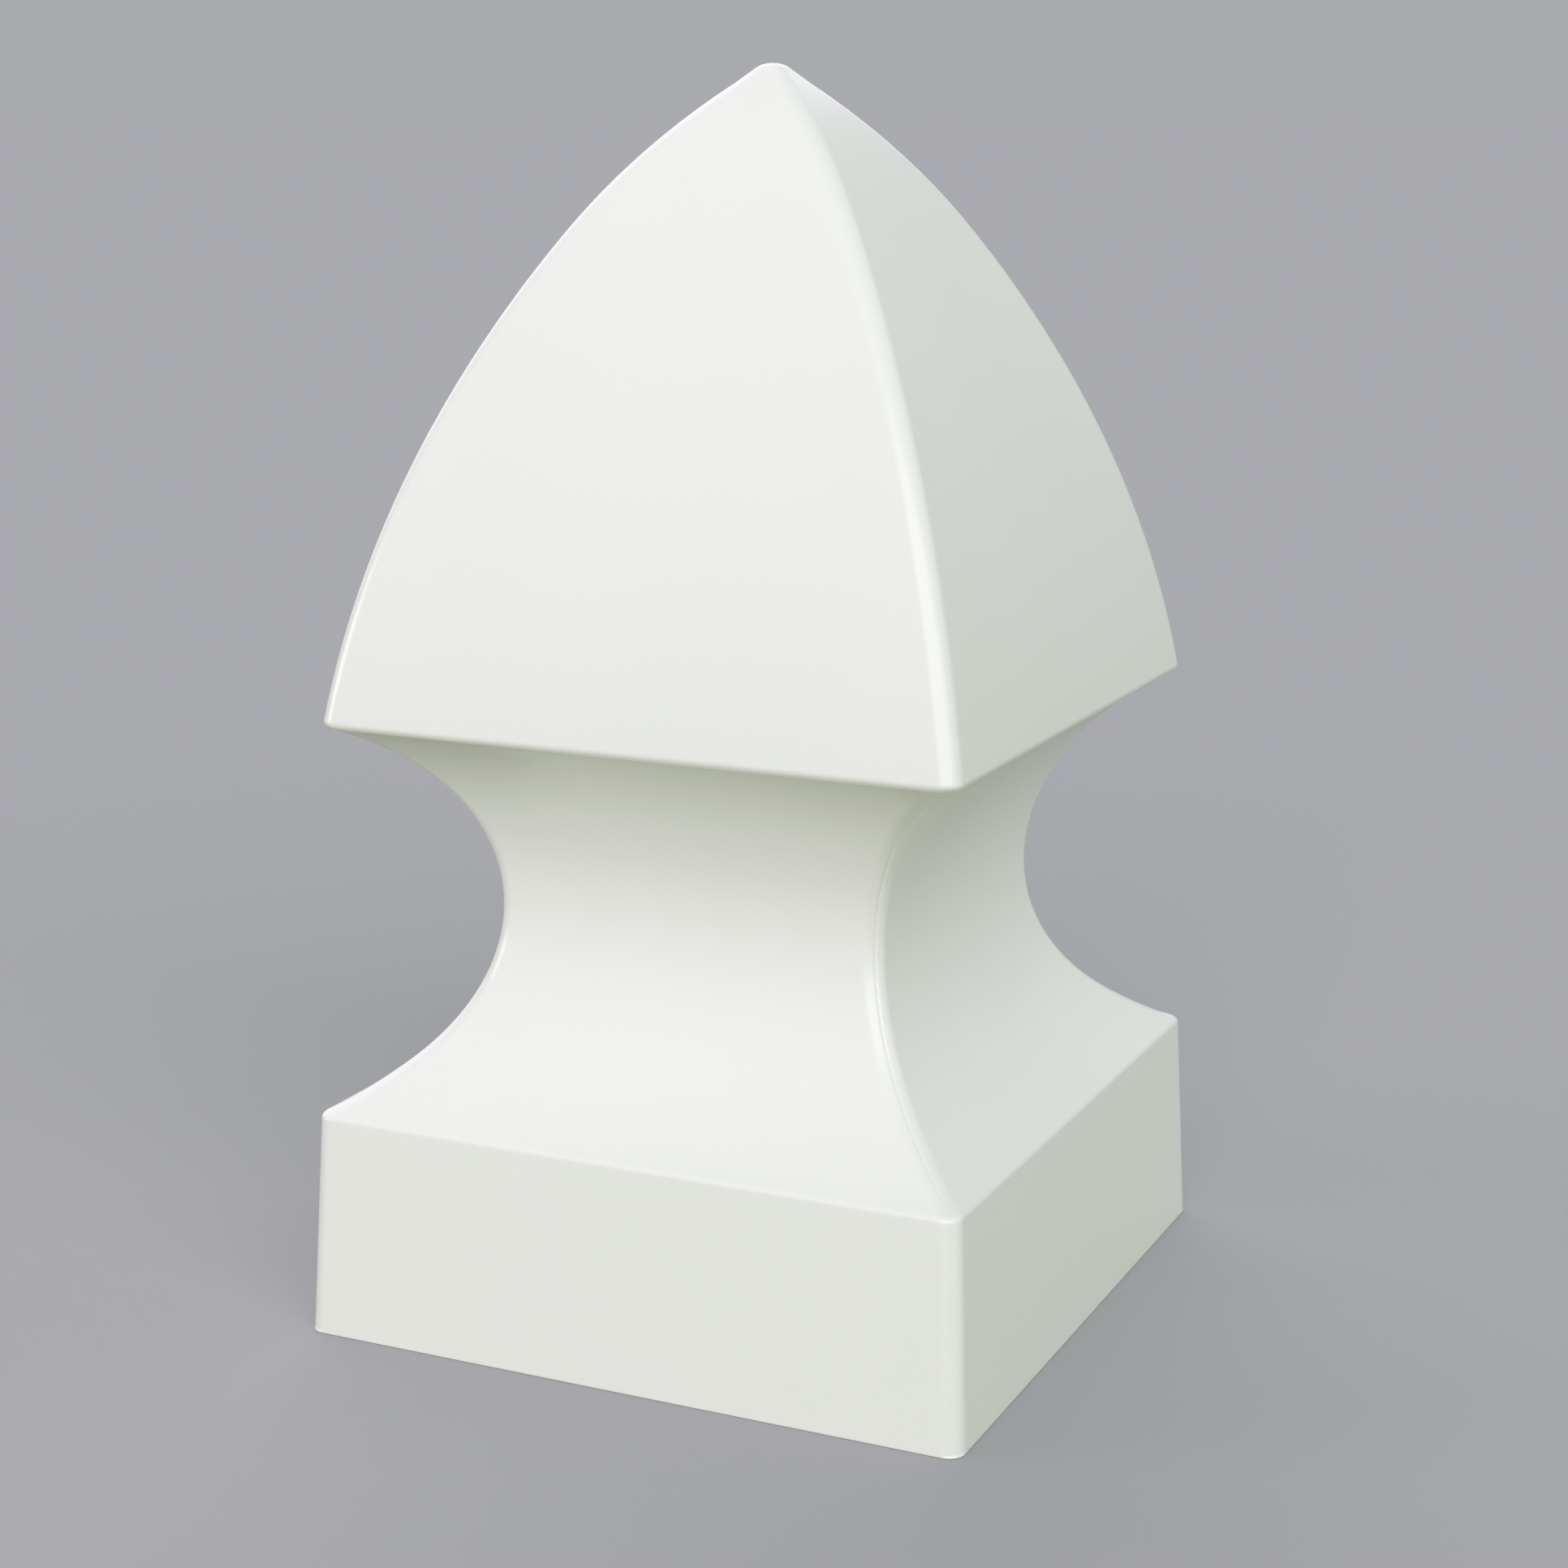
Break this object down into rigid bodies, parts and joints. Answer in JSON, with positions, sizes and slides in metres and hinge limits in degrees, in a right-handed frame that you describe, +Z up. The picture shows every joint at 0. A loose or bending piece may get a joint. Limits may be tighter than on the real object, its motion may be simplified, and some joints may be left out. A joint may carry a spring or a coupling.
{
  "type": "post cap",
  "caption": "Hollow Gothic cap that slips over a square vinyl post: drafted flange, concave neck and a bowed pyramid head with a blunt tip.",
  "frame": {"origin": "centre of the flange's rim, on the plane the cap stands on", "axes": "+Z up through the tip, X and Y square to the flange's sides"},
  "size_m": [0.137, 0.137, 0.2426],
  "materials": {
    "vinyl": "smooth white vinyl, satin gloss"
  },
  "bodies": {
    "root": {"post_cap": "vinyl"}
  },
  "joints": []
}
